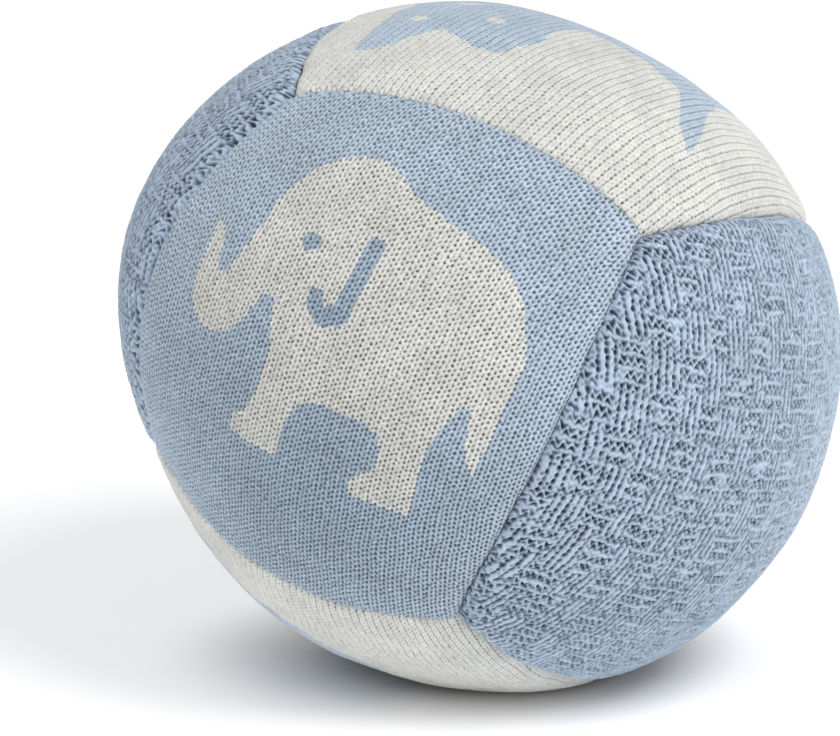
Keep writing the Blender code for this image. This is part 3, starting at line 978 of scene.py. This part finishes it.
# ---------------------------------------------------------------- floor, light and camera

CAMERA_AZIMUTH, CAMERA_ELEVATION = math.radians(29), math.radians(15)
CAMERA_DISTANCE = 0.90
BALL_WIDTH_SHARE = 0.8505  # the ball's radius against half of the picture's width
AIM_RIGHT, AIM_UP = -0.0131, -0.0040  # the ball is a little right of the middle, and above it

FLOOR_REACH = 25.0
GLOW = 0.43  # how much the floor glows, as if lit from below on a light table, but not under the ball, where a painted shadow is left
FAR_GLOW = 0.6  # and further away it glows more, up to white
SHADOW_BACK = 0.006  # how far behind the ball's centre the shadow's middle is
SHADOW_WIDTH = 1.35  # how wide the shadow is, against its depth from front to back


def pale_floor():
    """A pale floor that goes on out of sight, and is as white as the surroundings far away. Close under
    the ball it is painted darker and glows less, as a painted shadow.
    """
    back = np.array([-math.sin(CAMERA_AZIMUTH), math.cos(CAMERA_AZIMUTH)])
    corners = ((-1, -1), (1, -1), (1, 1), (-1, 1))
    points = [(FLOOR_REACH * x, FLOOR_REACH * y, 0) for x, y in corners]
    n = Nodes("pale_floor")
    n.shader.inputs["Roughness"].default_value = 0.7
    n.shader.inputs["Specular IOR Level"].default_value = 0.2
    place = n.add("ShaderNodeNewGeometry").outputs["Position"]
    under = n.add("ShaderNodeMapping", vector_type="TEXTURE")
    n.put(under.inputs["Vector"], place)
    under.inputs["Location"].default_value = (*(CENTRE[:2] + SHADOW_BACK * back), 0)
    under.inputs["Rotation"].default_value = (0, 0, CAMERA_AZIMUTH)
    under.inputs["Scale"].default_value = (1, 1 / SHADOW_WIDTH, 1)
    apart = n.add("ShaderNodeVectorMath", operation="LENGTH")
    n.put(apart.inputs[0], under.outputs[0])
    # A painted shadow: the floor's colour is darkened close under the ball.
    painted_shadow_fade = n.ramp(apart.outputs["Value"], 0.012, 0.040)
    n.put(n.shader.inputs["Base Color"], n.mix(painted_shadow_fade, (0.16, 0.16, 0.16), (0.80, 0.80, 0.805)))
    n.shader.inputs["Emission Color"].default_value = (1, 1, 1, 1)
    # The glow begins outside the painted shadow.
    close = n.ramp(apart.outputs["Value"], 0.031, 0.075, 0.0, GLOW)
    far = n.ramp(apart.outputs["Value"], 0.7, 1.8, 0.0, FAR_GLOW)
    n.put(n.shader.inputs["Emission Strength"], n.maths("ADD", close, far))
    return new_object("floor", points, [[0, 1, 2, 3]], n.material)


def soft_light(name, size, power, place):
    """A round soft light, aimed at the middle of the ball."""
    data = bpy.data.lights.new(name, "AREA")
    data.shape = "DISK"
    data.size = size
    data.energy = power
    light = bpy.data.objects.new(name, data)
    light.location = place
    aim = Vector((0, 0, 0.07)) - Vector(place)
    light.rotation_euler = aim.to_track_quat("-Z", "Y").to_euler()
    bpy.context.collection.objects.link(light)


pale_floor()
soft_light("key", 0.8, 19, (1.1, -0.3, 1.4))
soft_light("fill", 1.6, 3, (-0.6, -1.9, 0.9))

world = bpy.data.worlds.new("studio")
world.use_nodes = True
sky = world.node_tree.nodes
surroundings, behind = sky["Background"], sky.new("ShaderNodeBackground")
surroundings.inputs[0].default_value = (0.98, 0.99, 1.0, 1)
surroundings.inputs[1].default_value = 0.50
behind.inputs[0].default_value = (1, 1, 1, 1)  # it looks white past the floor
either = sky.new("ShaderNodeMixShader")
for start, end in (
    (sky.new("ShaderNodeLightPath").outputs["Is Camera Ray"], either.inputs[0]),
    (surroundings.outputs[0], either.inputs[1]),
    (behind.outputs[0], either.inputs[2]),
    (either.outputs[0], sky["World Output"].inputs["Surface"]),
):
    world.node_tree.links.new(start, end)
bpy.context.scene.world = world
bpy.context.scene.view_settings.view_transform = "Standard"

back = Vector(
    (
        math.sin(CAMERA_AZIMUTH) * math.cos(CAMERA_ELEVATION),
        -math.cos(CAMERA_AZIMUTH) * math.cos(CAMERA_ELEVATION),
        math.sin(CAMERA_ELEVATION),
    )
)
camera_data = bpy.data.cameras.new("camera")
camera_data.sensor_width = 36
camera_data.lens = 18 * BALL_WIDTH_SHARE * CAMERA_DISTANCE / BALL_RADIUS
camera = bpy.data.objects.new("camera", camera_data)
bpy.context.collection.objects.link(camera)
camera.location = Vector(CENTRE) + back * CAMERA_DISTANCE
right = Vector((math.cos(CAMERA_AZIMUTH), math.sin(CAMERA_AZIMUTH), 0))
above = back.cross(right)
aim = Vector(CENTRE) + right * AIM_RIGHT + above * AIM_UP
camera.rotation_euler = (aim - camera.location).to_track_quat("-Z", "Y").to_euler()
bpy.context.scene.camera = camera
